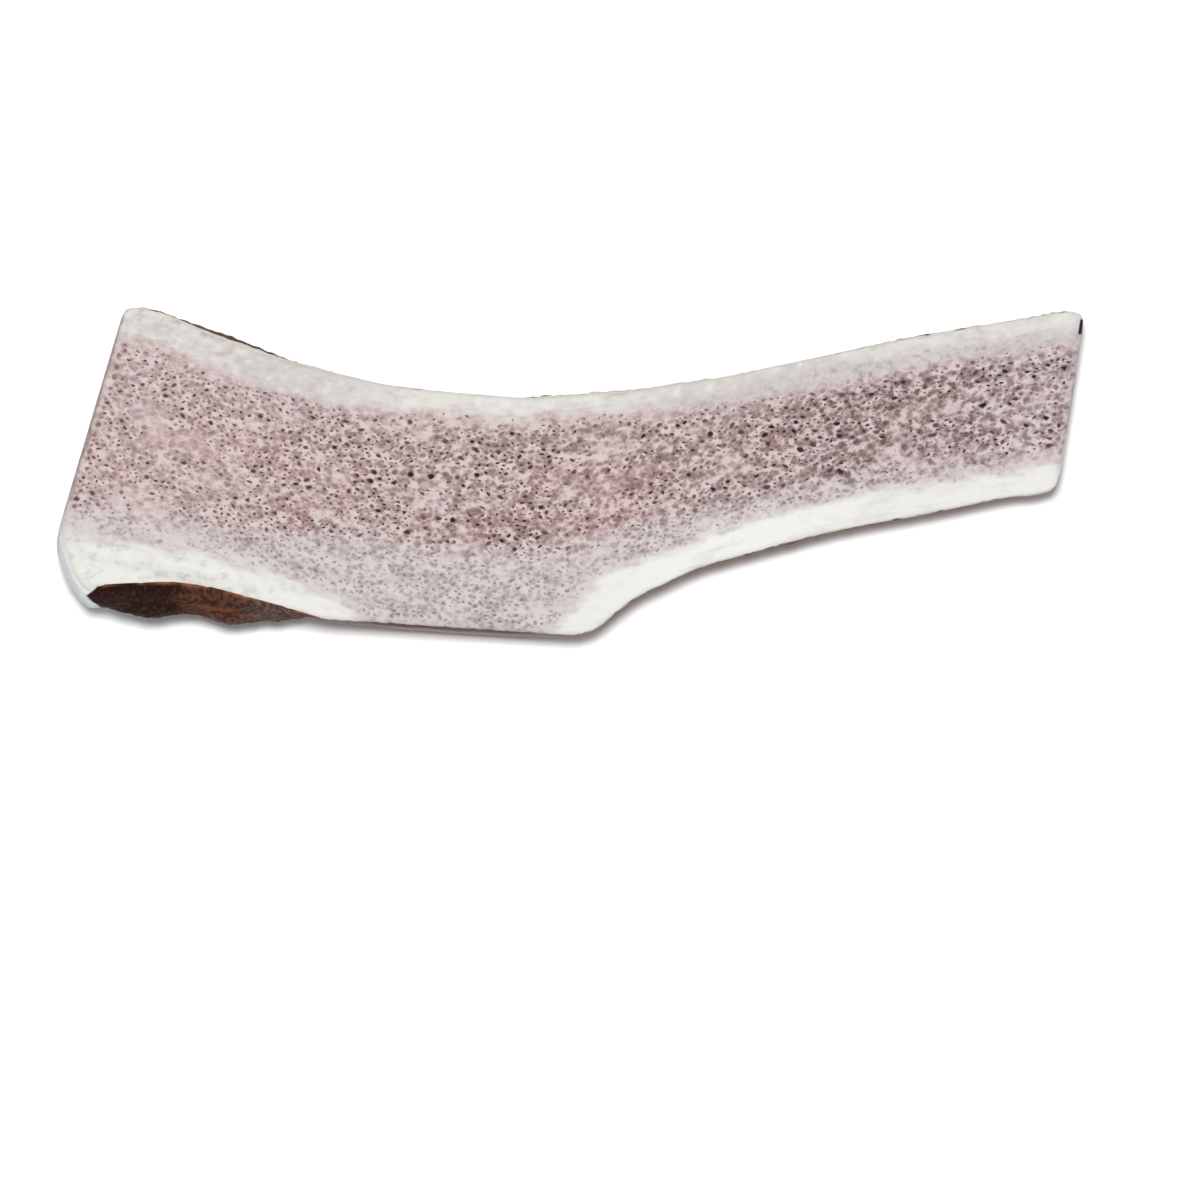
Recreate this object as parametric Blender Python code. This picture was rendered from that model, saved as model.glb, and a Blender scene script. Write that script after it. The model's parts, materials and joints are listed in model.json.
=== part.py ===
"""Half of an elk antler beam, split lengthwise for a dog to chew.

The beam is sawn square at both ends and the root of one tine is sawn off flush, so the piece has
four flat cuts: the long split face, the two ends and the tine cut. The rest is bark, ridged along
the beam and lumpy near its base. The piece lies on its bark with the split face up.

Metres, +Z up. The beam runs along X, and the origin is on the table under the middle of the piece.
Sizes below are in millimetres, in the frame of the split face: x along the beam, y across it, and
z out of the face, so the bark hangs below z = 0.
"""

import math
import random

import bmesh
import bpy
import numpy as np
from mathutils import Matrix, Vector, noise
from mathutils.geometry import delaunay_2d_cdt

MM = 0.001

# Cross-sections from the base end to the tip end. Each is cut from a point of the face's upper edge
# to a point of its lower edge:
# upper x, upper y, lower x, lower y, depth, bark bulge past the upper edge, past the lower edge.
SECTIONS = [
    (-78.5, 28.2, -89.7, -9.4, 17.5, 0.0, 3.6),
    (-77.7, 28.8, -88.2, -13.6, 18.0, 0.0, 4.2),
    (-76.5, 29.0, -86.6, -17.3, 18.5, 0.0, 4.3),
    (-74.8, 29.0, -84.6, -19.7, 19.0, 0.0, 4.4),
    (-72.3, 28.4, -81.0, -19.3, 19.4, 0.0, 4.7),
    (-68.4, 26.8, -75.4, -19.0, 19.6, 0.3, 5.5),
    (-63.5, 24.6, -69.5, -18.9, 19.5, 0.7, 6.6),
    (-58.0, 22.5, -63.5, -19.7, 19.0, 0.8, 6.5),
    (-51.9, 20.4, -56.9, -21.4, 18.4, 0.7, 5.0),
    (-45.8, 18.8, -50.1, -23.3, 17.9, 0.3, 3.0),
    (-39.7, 17.3, -43.2, -25.6, 17.5, 0.1, 0.3),
    (-32.7, 15.7, -36.2, -29.3, 17.3, 0.0, 0.0),
    (-24.8, 14.6, -28.0, -33.8, 17.2, 0.0, 0.0),
    (-16.1, 13.9, -18.7, -35.9, 17.1, 0.0, 0.0),
    (-9.2, 13.4, -10.5, -33.6, 17.0, 0.0, 0.0),
    (-3.9, 13.5, -4.6, -30.2, 16.9, 0.0, 0.0),
    (-0.6, 13.7, -0.9, -28.6, 16.8, 0.0, 0.0),
    (1.9, 13.8, 1.8, -27.9, 16.7, 0.0, 0.0),
    (3.9, 14.0, 3.6, -27.3, 16.7, 0.0, 0.0),
    (5.9, 14.1, 5.0, -26.4, 16.6, 0.0, 0.0),
    (9.2, 14.4, 7.8, -24.1, 16.4, 0.0, 0.0),
    (13.0, 14.8, 11.2, -21.6, 16.2, 0.0, 0.0),
    (17.0, 15.5, 15.3, -19.6, 16.0, 0.0, 0.0),
    (23.1, 16.4, 21.7, -16.6, 15.6, 0.0, 0.0),
    (32.7, 18.3, 31.3, -13.8, 15.3, 0.0, 0.0),
    (44.9, 20.9, 43.5, -10.5, 14.9, 0.0, 0.0),
    (57.1, 23.4, 55.0, -8.2, 14.5, 0.0, 0.0),
    (69.3, 25.6, 66.7, -6.0, 14.1, 0.0, 0.0),
    (79.8, 27.4, 76.6, -4.0, 13.8, 0.0, 0.0),
    (85.0, 28.3, 81.5, -3.4, 13.6, 0.0, 0.0),
    (87.4, 28.4, 83.8, -2.6, 13.4, 0.0, 0.0),
    (89.0, 27.9, 84.9, -1.2, 13.1, 0.0, 0.0),
    (89.4, 27.1, 85.3, 0.6, 12.8, 0.0, 0.0),
]
ROUNDNESS = 2.25  # 2 makes each section half an ellipse, and more makes it squarer
BULGE_RISE = 0.8  # below 1 puts the bulges' widest place nearer to the split face

# The saw cut that took the tine off, by two points of its line in the split face
TINE_CUT_START = (-41.4, -25.5)
TINE_CUT_END = (-1.0, -28.1)
TINE_CUT_LEAN = 5.0  # degrees that the cut leans outwards below the split face
TINE_MIDDLE_X = -18.0
TINE_REACH = 26.0  # how far along the beam the tine's root shapes the sections
TINE_SKEW = 0.18  # how much of the depth the tine's root gives over to the beam's side

# Bark relief
BARK_WIDTH = 70.0  # round the bark from edge to edge, in the middle of the beam
RIDGE_HEIGHT = 1.7
RIDGE_SPACING = 4.6
RIDGE_LENGTH = 40.0
RIDGE_WANDER = 5.0
WANDER_LENGTH = 38.0
WANDER_WIDTH = 26.0
RIPPLE_SHARE = 0.35
RIPPLE_SPACING = 3.2
RIPPLE_LENGTH = 16.0
TINE_RIDGE_HEIGHT = 1.5
TINE_RIDGE_SPACING = 3.6
TINE_RIDGE_LENGTH = 20.0
TINE_RIDGE_REACH = 11.0
BASE_LUMP_HEIGHT = 1.9
BASE_LUMP_SIZE = 6.0
BASE_LUMPS_FADE = (-68.0, -38.0)  # full up to the first x, and gone at the second
BASE_LUMPS_TURN = (0.3, 0.9)  # the same by the share of the turn round the bark
END_WEAR = 0.5  # how far the sawn ends' outer edges are rubbed down
EDGE_FADE = 0.3  # sine of the turn by which the relief has risen from nothing at the split face

# The larger pores of the split face, inside its hard outer wall
WALL = 6.0
OPEN_WALL = 2.5  # at the tine cut, where the porous core runs out to the edge
PORES = 140
PORE_LENGTH = 1.7
PORE_WIDTH = 1.0
PORE_DEPTH = 0.6
PORE_GAP = 2.3
PORE_SIDES = 6
PORE_BAND = 0.3  # how far from the middle of the core they gather, as a share of the width
PORELESS_ENDS = 7.0

# How finely the surface is drawn
STATION_STEP = 2.4
TINE_STATION_STEP = 1.4
CORNER_KNOTS = 4  # table rows at each end that round the corners of the face
ROUND_STEPS = 34
EDGE_SAMPLES = 240

# How the piece leans when it lies still on its bark, in degrees
ROLL = 2.5
PITCH = 2.7


def clear_scene():
    for thing in list(bpy.data.objects):
        bpy.data.objects.remove(thing, do_unlink=True)


def smooth(values, knots, at):
    """The value at one place of a smooth curve that passes through the values at the knots."""
    slopes = np.gradient(values, knots)
    first = int(np.clip(np.searchsorted(knots, at, side="right") - 1, 0, len(knots) - 2))
    step = knots[first + 1] - knots[first]
    f = (at - knots[first]) / step
    return (
        values[first] * (1 + 2 * f) * (1 - f) ** 2
        + values[first + 1] * f * f * (3 - 2 * f)
        + slopes[first] * step * f * (1 - f) ** 2
        - slopes[first + 1] * step * f * f * (1 - f)
    )


def ease(low, high, value):
    """0 at low, 1 at high, and a smooth rise between."""
    f = np.clip((value - low) / (high - low), 0.0, 1.0)
    return f * f * (3 - 2 * f)


def waves(x, y, seed):
    """Smooth noise between about -0.5 and 0.5."""
    return noise.noise(Vector((x, y, seed)))


def past_tine_cut(spots):
    """How far spots in space stand out past the plane of the tine cut."""
    start, end = np.array(TINE_CUT_START), np.array(TINE_CUT_END)
    along = (end - start) / np.linalg.norm(end - start)
    out = np.array([along[1], -along[0]])
    lean = math.tan(math.radians(TINE_CUT_LEAN))
    return (spots[:, :2] - start) @ out + spots[:, 2] * lean


def tine_share(x):
    """1 beside the middle of the tine's root, and less to both sides along the beam."""
    return math.exp(-(((x - TINE_MIDDLE_X) / TINE_REACH) ** 2))


def relief(at, turn, x, from_tine_cut):
    """The bark's height, by the distance along the beam and the share of the turn round it.

    The ridges run along the beam. By the tine's root they run out along the tine instead, and near
    the beam's base lumps lie over them."""
    around = turn * BARK_WIDTH
    wandered = around + RIDGE_WANDER * waves(at / WANDER_LENGTH, around / WANDER_WIDTH, 3.1)
    ridges = waves(at / RIDGE_LENGTH, wandered / RIDGE_SPACING, 0.7)
    ripples = waves(at / RIPPLE_LENGTH, wandered / RIPPLE_SPACING, 9.3)
    height = RIDGE_HEIGHT * (ridges + RIPPLE_SHARE * ripples)
    turning = tine_share(x) * math.exp(-((from_tine_cut / TINE_RIDGE_REACH) ** 2))
    tine_ridges = waves(x / TINE_RIDGE_SPACING, from_tine_cut / TINE_RIDGE_LENGTH, 6.2)
    height += turning * (TINE_RIDGE_HEIGHT * tine_ridges - height)
    lumpy = (1 - ease(*BASE_LUMPS_FADE, x)) * (1 - ease(*BASE_LUMPS_TURN, turn))
    lumps = waves(at / BASE_LUMP_SIZE, around / BASE_LUMP_SIZE, 5.5)
    return height + lumpy * BASE_LUMP_HEIGHT * lumps


class Section:
    """One cross-section of the piece, drawn in the plane through an upper and a lower edge point."""

    def __init__(self, at, numbers):
        self.at = at
        self.upper = np.array(numbers[0:2])
        self.lower = np.array(numbers[2:4])
        self.depth, self.upper_bulge, self.lower_bulge = numbers[4:7]
        self.width = float(np.linalg.norm(self.upper - self.lower))
        self.across = (self.upper - self.lower) / self.width
        self.skew = 1 - TINE_SKEW * tine_share(self.lower[0])
        self.end_wear = 0.0

    def past_cut(self):
        """How far the lower edge point stands out past the tine cut."""
        return past_tine_cut(np.array([[*self.lower, 0.0]]))[0]

    def plain(self, angle):
        """Points of the bark without its relief: the way up from the lower edge, and the height."""
        power = 2 / ROUNDNESS
        cosine = np.cos(angle)
        down = np.abs(np.sin(angle)) ** power
        share = 0.5 * (1 - np.sign(cosine) * np.abs(cosine) ** power)
        bulge = np.sin(math.pi * down**BULGE_RISE)
        out = np.where(cosine > 0, -self.lower_bulge * bulge, self.upper_bulge * bulge)
        return np.stack([self.width * share**self.skew + out, -self.depth * down], axis=-1)

    def place(self, points):
        """Points of the section's plane as spots in space."""
        return np.column_stack([self.lower + points[:, :1] * self.across, points[:, 1]])

    def bark(self, angle):
        """Spots in space on the bark with its relief."""
        near = 1e-3
        plain = self.plain(angle)
        along = self.plain(np.minimum(angle + near, math.pi)) - self.plain(np.maximum(angle - near, 0))
        along /= np.maximum(np.linalg.norm(along, axis=-1, keepdims=True), 1e-9)
        outward = np.stack([along[:, 1], -along[:, 0]], axis=-1)
        spots = self.place(plain)
        inside = -past_tine_cut(spots)
        rise = [relief(self.at, a / math.pi, s[0], d) for a, s, d in zip(angle, spots, inside)]
        sides = np.sin(angle)
        shift = (np.array(rise) - self.end_wear) * ease(0.0, EDGE_FADE, sides)
        points = plain + outward * shift[:, None]
        points[:, 1] = np.where(sides < 1e-6, 0.0, np.minimum(points[:, 1], 0.0))
        return self.place(points)

    def ring(self):
        """Spots round the bark from the lower edge, or from the tine cut, to the upper edge."""
        start = 0.0
        corner = None
        if self.past_cut() > 1e-6:
            angle = np.linspace(0, math.pi, EDGE_SAMPLES)
            spots = self.bark(angle)
            past = past_tine_cut(spots)
            i = int(np.flatnonzero(past > 0)[-1])
            f = past[i] / (past[i] - past[i + 1])
            start = angle[i] + f * (angle[i + 1] - angle[i])
            corner = spots[i] + f * (spots[i + 1] - spots[i])
        angle = np.linspace(start, math.pi, EDGE_SAMPLES)
        steps = np.linalg.norm(np.diff(self.plain(angle), axis=0), axis=1)
        length = np.concatenate([[0.0], np.cumsum(steps)])
        even = np.interp(np.linspace(0, length[-1], ROUND_STEPS + 1), length, angle)
        even[-1] = math.pi
        spots = self.bark(even)
        if corner is not None:
            spots[0] = corner
        return spots


def section_maker():
    """A function that draws the section at a distance along the beam, and the table's distances."""
    table = np.array(SECTIONS)
    middle = (table[:, 0:2] + table[:, 2:4]) / 2
    knots = np.concatenate([[0.0], np.cumsum(np.linalg.norm(np.diff(middle, axis=0), axis=1))])
    return lambda at: Section(at, [float(smooth(column, knots, at)) for column in table.T]), knots


def tine_corners(section, length):
    """The distances along the beam where the lower edge meets the tine cut."""
    places = np.linspace(0, length, 400)
    past = [section(at).past_cut() > 0 for at in places]
    found = []
    for i in range(len(places) - 1):
        if past[i] == past[i + 1]:
            continue
        low, high = places[i], places[i + 1]
        for _ in range(30):
            half = (low + high) / 2
            low, high = (half, high) if (section(half).past_cut() > 0) == past[i] else (low, half)
        found.append(half)
    return found[0], found[-1]


def stations():
    """The sections to draw, and the numbers of the two at the corners of the tine cut."""
    section, knots = section_maker()
    first, last = tine_corners(section, knots[-1])
    fixed = [first, last, *knots[:CORNER_KNOTS], *knots[-CORNER_KNOTS:]]
    places = list(fixed)
    at = 0.0
    while at < knots[-1]:
        step = TINE_STATION_STEP if first - 4 < at < last + 4 else STATION_STEP
        if min(abs(at - place) for place in fixed) > step / 3:
            places.append(at)
        at += step
    places.sort()
    found = [section(at) for at in places]
    found[0].end_wear = found[-1].end_wear = END_WEAR
    return found, places.index(first), places.index(last)


def pore_spots(sections, rings):
    """Middles and grain directions of the larger pores, kept inside the wall and apart."""
    draw = random.Random(11)
    found = []
    while len(found) < PORES:
        i = draw.randrange(len(rings) - 1)
        low, high = (rings[i][k][:2] for k in (0, -1))
        width = np.linalg.norm(high - low)
        share = draw.uniform(0.0, 1.0)
        spot = low + (high - low) * share
        wall = OPEN_WALL if sections[i].past_cut() > 0 else WALL
        if not wall < share * width < width - WALL:
            continue
        if not PORELESS_ENDS < sections[i].at < sections[-1].at - PORELESS_ENDS:
            continue
        if draw.random() > math.exp(-(((share - 0.5) / PORE_BAND) ** 2)):
            continue
        if any(np.linalg.norm(spot - other) < PORE_GAP for other, _ in found):
            continue
        grain = (1 - share) * (rings[i + 1][0] - rings[i][0]) + share * (rings[i + 1][-1] - rings[i][-1])
        found.append((spot, grain[:2] / np.linalg.norm(grain[:2])))
    return found


def split_face(outline, spots):
    """The split face as points and triangles. Its first points are the outline's, in their order."""
    points = [Vector(p[:2]) for p in outline]
    heights = [0.0] * len(points)
    edges = []
    for spot, grain in spots:
        side = np.array([-grain[1], grain[0]])
        first = len(points)
        for k in range(PORE_SIDES):
            turn = 2 * math.pi * k / PORE_SIDES
            place = spot + grain * PORE_LENGTH / 2 * math.cos(turn) + side * PORE_WIDTH / 2 * math.sin(turn)
            points.append(Vector(place))
            edges.append((first + k, first + (k + 1) % PORE_SIDES))
            heights.append(0.0)
        points.append(Vector(spot))
        heights.append(-PORE_DEPTH)
    border = list(range(len(outline)))
    _, _, faces, origin, _, inside = delaunay_2d_cdt(points, edges, [border], 0, 1e-6, True)
    triangles = [[origin[corner][0] for corner in face] for face, owner in zip(faces, inside) if owner]
    return [(p.x, p.y, h) for p, h in zip(points, heights)], triangles


def build_surface():
    """The whole surface, as points in millimetres, faces, and how many of the faces are bark."""
    sections, first, last = stations()
    rings = [section.ring() for section in sections]
    points = [tuple(spot) for ring in rings for spot in ring]
    ends = (0, len(rings) - 1)
    around = range(ROUND_STEPS + 1)

    def number(i, k):
        return i * (ROUND_STEPS + 1) + k

    bark = [
        [number(i, k), number(i + 1, k), number(i + 1, k + 1), number(i, k + 1)]
        for i in range(len(rings) - 1)
        for k in range(ROUND_STEPS)
    ]
    lower = [number(i, 0) for i in range(len(rings)) if i <= first or i >= last]
    upper = [number(i, ROUND_STEPS) for i in reversed(range(len(rings)))]
    border = lower + upper
    flat, triangles = split_face([points[n] for n in border], pore_spots(sections, rings))
    numbers = border + list(range(len(points), len(points) + len(flat) - len(border)))
    points += flat[len(border) :]
    cuts = [[numbers[corner] for corner in triangle] for triangle in triangles]
    cuts += [[number(i, k) for k in around] for i in ends]
    cuts.append([number(i, 0) for i in range(first, last + 1)])
    return points, bark + cuts, len(bark)


def material(name, color, roughness):
    made = bpy.data.materials.new(name)
    made.use_nodes = True
    shader = made.node_tree.nodes["Principled BSDF"]
    shader.inputs["Base Color"].default_value = (*color, 1)
    shader.inputs["Roughness"].default_value = roughness
    shader.inputs["Metallic"].default_value = 0.0
    made.diffuse_color = (*color, 1)
    return made


def lay_down(mesh):
    """Leans the piece as it lies still, and sets it on the table over the origin."""
    lean = Matrix.Rotation(math.radians(ROLL), 4, "X") @ Matrix.Rotation(math.radians(PITCH), 4, "Y")
    mesh.transform(lean)
    spots = np.array([v.co for v in mesh.vertices])
    low, high = spots.min(axis=0), spots.max(axis=0)
    mesh.transform(Matrix.Translation((-(low[0] + high[0]) / 2, -(low[1] + high[1]) / 2, -low[2])))


def make_antler_slice():
    points, faces, bark_count = build_surface()
    mesh = bpy.data.meshes.new("antler_slice")
    mesh.from_pydata([Vector(p) * MM for p in points], [], faces)
    mesh.materials.append(material("bark", (0.21, 0.085, 0.035), 0.6))
    mesh.materials.append(material("sawn_antler", (0.62, 0.52, 0.51), 0.75))
    mesh.polygons.foreach_set("material_index", [int(i >= bark_count) for i in range(len(faces))])
    surface = bmesh.new()
    surface.from_mesh(mesh)
    bmesh.ops.triangulate(surface, faces=surface.faces[:])
    bmesh.ops.recalc_face_normals(surface, faces=surface.faces[:])
    surface.to_mesh(mesh)
    surface.free()
    lay_down(mesh)
    mesh.shade_smooth()
    mesh.set_sharp_from_angle(angle=math.radians(40))
    bpy.context.scene.collection.objects.link(bpy.data.objects.new("antler_slice", mesh))


clear_scene()
make_antler_slice()
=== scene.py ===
"""The looks of the sliced elk antler chew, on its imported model.

The chew is drawn from the same sections as its solid, but about four times as finely, with worn
edges, fine ridges and grooves in the bark, and thousands of pores in the split face.

Sizes are in millimetres, in the frame of the split face, until the mesh is made: x along the beam,
y across it, and z out of the face, so the bark hangs below z = 0.
"""

import json
import math
import random

import bmesh
import bpy
import numpy as np
from mathutils import Matrix, Vector, kdtree, noise
from mathutils.geometry import delaunay_2d_cdt
from numpy.linalg import norm


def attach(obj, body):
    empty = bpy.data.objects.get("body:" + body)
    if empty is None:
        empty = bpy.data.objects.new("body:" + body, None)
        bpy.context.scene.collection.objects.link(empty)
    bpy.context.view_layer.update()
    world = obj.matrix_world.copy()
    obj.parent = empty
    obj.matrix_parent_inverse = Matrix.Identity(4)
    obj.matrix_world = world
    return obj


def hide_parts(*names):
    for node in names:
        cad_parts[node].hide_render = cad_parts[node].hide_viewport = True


MM = 0.001
TINY = 1e-6

# Cross-sections from the base end to the tip end. Each is cut from a point of the face's upper edge
# to a point of its lower edge: upper x, upper y, lower x, lower y, depth and, where the bark bulges,
# how far it does past the upper edge and past the lower edge.
SECTIONS = [
    (-78.5, 28.2, -89.7, -9.4, 17.5, 0.0, 3.6),
    (-77.7, 28.8, -88.2, -13.6, 18.0, 0.0, 4.2),
    (-76.5, 29.0, -86.6, -17.3, 18.5, 0.0, 4.3),
    (-74.8, 29.0, -84.6, -19.7, 19.0, 0.0, 4.4),
    (-72.3, 28.4, -81.0, -19.3, 19.4, 0.0, 4.7),
    (-68.4, 26.8, -75.4, -19.0, 19.6, 0.3, 5.5),
    (-63.5, 24.6, -69.5, -18.9, 19.5, 0.7, 6.6),
    (-58.0, 22.5, -63.5, -19.7, 19.0, 0.8, 6.5),
    (-51.9, 20.4, -56.9, -21.4, 18.4, 0.7, 5.0),
    (-45.8, 18.8, -50.1, -23.3, 17.9, 0.3, 3.0),
    (-39.7, 17.3, -43.2, -25.6, 17.5, 0.1, 0.3),
    (-32.7, 15.7, -36.2, -29.3, 17.3),
    (-24.8, 14.6, -28.0, -33.8, 17.2),
    (-16.1, 13.9, -18.7, -35.9, 17.1),
    (-9.2, 13.4, -10.5, -33.6, 17.0),
    (-3.9, 13.5, -4.6, -30.2, 16.9),
    (-0.6, 13.7, -0.9, -28.6, 16.8),
    (1.9, 13.8, 1.8, -27.9, 16.7),
    (3.9, 14.0, 3.6, -27.3, 16.7),
    (5.9, 14.1, 5.0, -26.4, 16.6),
    (9.2, 14.4, 7.8, -24.1, 16.4),
    (13.0, 14.8, 11.2, -21.6, 16.2),
    (17.0, 15.5, 15.3, -19.6, 16.0),
    (23.1, 16.4, 21.7, -16.6, 15.6),
    (32.7, 18.3, 31.3, -13.8, 15.3),
    (44.9, 20.9, 43.5, -10.5, 14.9),
    (57.1, 23.4, 55.0, -8.2, 14.5),
    (69.3, 25.6, 66.7, -6.0, 14.1),
    (79.8, 27.4, 76.6, -4.0, 13.8),
    (85.0, 28.3, 81.5, -3.4, 13.6),
    (87.4, 28.4, 83.8, -2.6, 13.4),
    (89.0, 27.9, 84.9, -1.2, 13.1),
    (89.4, 27.1, 85.3, 0.6, 12.8),
]
ROUNDNESS = 2.25  # 2 makes each section half an ellipse, and more makes it squarer
BULGE_RISE = 0.8  # below 1 puts the bulges' widest place nearer to the split face

# The saw cut that took the tine off, by two points of its line in the split face
TINE_CUT_START = (-41.4, -25.5)
TINE_CUT_END = (-1.0, -28.1)
TINE_CUT_LEAN = 5.0  # degrees that the cut leans outwards below the split face
TINE_MIDDLE_X = -18.0
TINE_REACH = 26.0  # how far along the beam the tine's root shapes the sections
TINE_SKEW = 0.18  # how much of the depth the tine's root gives over to the beam's side

# Bark relief that the solid has too
BARK_WIDTH = 70.0  # round the bark from edge to edge, in the middle of the beam
RIDGE_HEIGHT = 1.7
RIDGE_SPACING = 4.6
RIDGE_LENGTH = 40.0
RIDGE_WANDER = 5.0
WANDER_LENGTH = 38.0
WANDER_WIDTH = 26.0
RIPPLE_SHARE = 0.35
RIPPLE_SPACING = 3.2
RIPPLE_LENGTH = 16.0
TINE_RIDGE_HEIGHT = 1.5
TINE_RIDGE_SPACING = 3.6
TINE_RIDGE_LENGTH = 20.0
TINE_RIDGE_REACH = 11.0
BASE_LUMP_HEIGHT = 1.9
BASE_LUMP_SIZE = 6.0
BASE_LUMPS_FADE = (-68.0, -38.0)  # full up to the first x, and gone at the second
BASE_LUMPS_TURN = (0.3, 0.9)  # the same by the share of the turn round the bark
EDGE_FADE = 0.3  # sine of the turn by which the relief has risen from nothing at the split face

# Finer bark relief
FINE_RIDGE_HEIGHT = 0.55
FINE_RIDGE_SPACING = 1.4
FINE_RIDGE_LENGTH = 14.0
PEBBLE_HEIGHT = 0.28
PEBBLE_SIZE = 1.2
GROOVE_DEPTH = 0.45
GROOVE_SPACING = 8.0
GROOVE_LENGTH = 70.0
GROOVE_SHARE = 0.05  # how much of the noise's range a groove takes up
FINE_FADE = 0.1  # as EDGE_FADE, for the finer relief

# Edges worn round by smoothing: the weight on the edge itself, then on each next row of points
EDGE_WEAR = (1.0, 0.6, 0.25)
EDGE_ROUNDS = 3
END_WEAR = (1.0, 0.9, 0.7, 0.45, 0.2)
END_ROUNDS = 5
WEAR_STEP = 0.6

# How finely the surface is drawn
STATION_STEP = 0.52
BARK_STEPS = 118
EDGE_SAMPLES = 400
CORNER_SAMPLES = 400
CORNER_HALVINGS = 30
CHORD_STEP = 0.6
FILL_STEP = 1.5
RIM_ROWS = (0.4, 0.9)
CAP_STEP = 0.8

# The beam's middle line in the split face, as x, y: the grain runs along it
MIDDLE_LINE = [(-95, 10.5), (-84, 8.5), (-60, 2.5), (-40, -2.5), (-20, -5.2), (0, -4.8), (20, -0.7)]
MIDDLE_LINE += [(45, 5.3), (70, 10.0), (95, 14.5)]

# Where the porous core ends and the hard wall begins in the split face, as x, y
UPPER_CORE = [(-95, 26), (-74, 22.7), (-60, 16.7), (-44, 12.6), (-31, 11.2), (-12, 9.9), (5, 10.5)]
UPPER_CORE += [(16, 11.0), (29, 12.6), (41, 15.0), (54, 17.4), (65, 19.7), (76, 21.3), (95, 24.5)]
LOWER_CORE = [(-95, -7.6), (-80, -11.3), (-63.5, -13.9), (-51, -17.8), (-42.3, -20.6), (-37.7, -24.6)]
LOWER_CORE += [(-36.7, -30.7), (-33, -42), (-7.4, -42), (-6.2, -30.7), (2.5, -20.7), (7, -16.7)]
LOWER_CORE += [(19, -12.9), (24, -10.4), (34, -7.3), (43, -5.5), (52, -3.1), (69, -1.0), (95, 3.2)]
END_WALL = 5.4
TINE_WALL = 4.6

# Below this line in the split face, as x, y, the core is paler and closer
PALE_LINE = [(-95, -4.5), (-70, -7.5), (-57, -9.9), (-44, -10.6), (-31, -11.3), (-18, -12.6)]
PALE_LINE += [(-5.5, -14.0), (10, -9.5), (22, -5.2), (47, -0.4), (59, 1.4), (83, 3.3), (95, 4.5)]
PALE_BLEND = (-2.5, 3.5)  # how far past the line that starts, and is complete
CUT_PALE = 0.6  # how far the cuts across the beam and the tine have that look too

# How open the core is, as shares of its most open part
BASE_OPEN = 0.45
BASE_OPEN_X = (-78.0, -15.0)  # from there up to fully open
PALE_OPEN = 0.35
OPENING_WIDTH = 3.0  # how far into the core it opens from closed to fully open

# Pores of the split face
PORE_SEED = 11
PORE_TRIES = 260000
PORE_SIDES = 8
PORE_SIDE_SHIFT = 0.25  # how far a corner of the rim may be out of step, as a share of a side
PORE_LENGTH = (0.7, 1.9)
PORE_SIZES = 2.0  # above 1 makes small pores more common than large ones
PORE_SHAPE = (0.4, 0.8)  # width as a share of the length
PORE_TURN = 40.0  # degrees either way from the grain
PORE_UNEVEN = 0.3
PORE_WALL = 0.06  # of the antler round each pore that no other may take
PORE_DEPTH = 0.5  # of the darkest, as a share of the length
PORE_LEAST_DARK = 0.2
PORE_DARKNESS = 1.1  # above 1 makes faint pores more common than dark ones
PORE_EDGE_GAP = 1.4
PORE_ROWS = (12.0, 1.9)  # length and spacing of the rows that they gather in
PORE_PATCHES = (15.0, 5.0)
PORE_CLUMP = 2.2
PORE_GATHERERS = (0.7, 0.7, 0.9)  # how much the rows, patches and clumps count
PORE_GATHERING = (-0.32, 0.28)  # that sum where there are no pores, and where there are the most
PORE_CELL = 0.07  # side of the squares by which the room that pores take is counted

# What is left of the pores' lengths and darkness where the core is closed or the pores are sparse
CLOSED_LENGTH = 0.4
CLOSED_DARK = 0.2
SPARSE_DARK = 0.3

# How the piece lies: as its solid does, leaning on its bark
ROLL = 2.5
PITCH = 2.7
FACE_MARK = (0.0, 10.4, 0.0)  # where the split_face mount is, in the frame of the split face

# The photograph
PHOTO_PIXELS = 1200
PIXEL_MM = 0.17434  # at the split face
FACE_ORIGIN_PIXEL = (572.5, 474.0)  # where the split face's x = 0, y = 0 is seen
CAMERA_DISTANCE = 1300.0
SENSOR_WIDTH = 36.0

# The studio, in metres and watts
FILL_COLOR = (0.985, 1.0, 1.0, 1.0)
FILL_STRENGTH = 0.35
KEY_PLACE = (0.04, 0.07, 1.3)
KEY_SIZE = 0.18
KEY_POWER = 16.8
LIGHT_LEVEL = 1.3  # how bright white paper is in this light, where 1 is the brightest that can be shown
FLOOR_COLOR = (0.95, 0.95, 0.95, 1.0)
FLOOR_ROUGHNESS = 0.9
FLOOR_REACH = 3.0
FLOOR_DROP = 0.00002  # keeps it clear of the lowest bark
SIGHT_REACH = 100.0

# The surfaces, and where each one's own origin goes in the UV map, in millimetres
BARK, FACE, BASE, TIP, TINE = range(5)
SHEET_ORIGINS = [(2, 2), (92, 119), (2, 172), (46, 172), (80, 172)]
SHEET_SIZE = 184.0

# The painted shade of a slit in the corner of the tip end: where it fades in and out, by how far it is
# along the beam, measured square to the tip end, and by y
SLIT_ALONG = (83.3, 83.45)
SLIT_LOW = (24.2, 24.5)
SLIT_HIGH = (27.1, 26.8)

# Where sanding ends at the base end's lower corner: a point of the dark bark that is left, as x, y
SANDED_POINT = (-85.0, -21.3)

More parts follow.
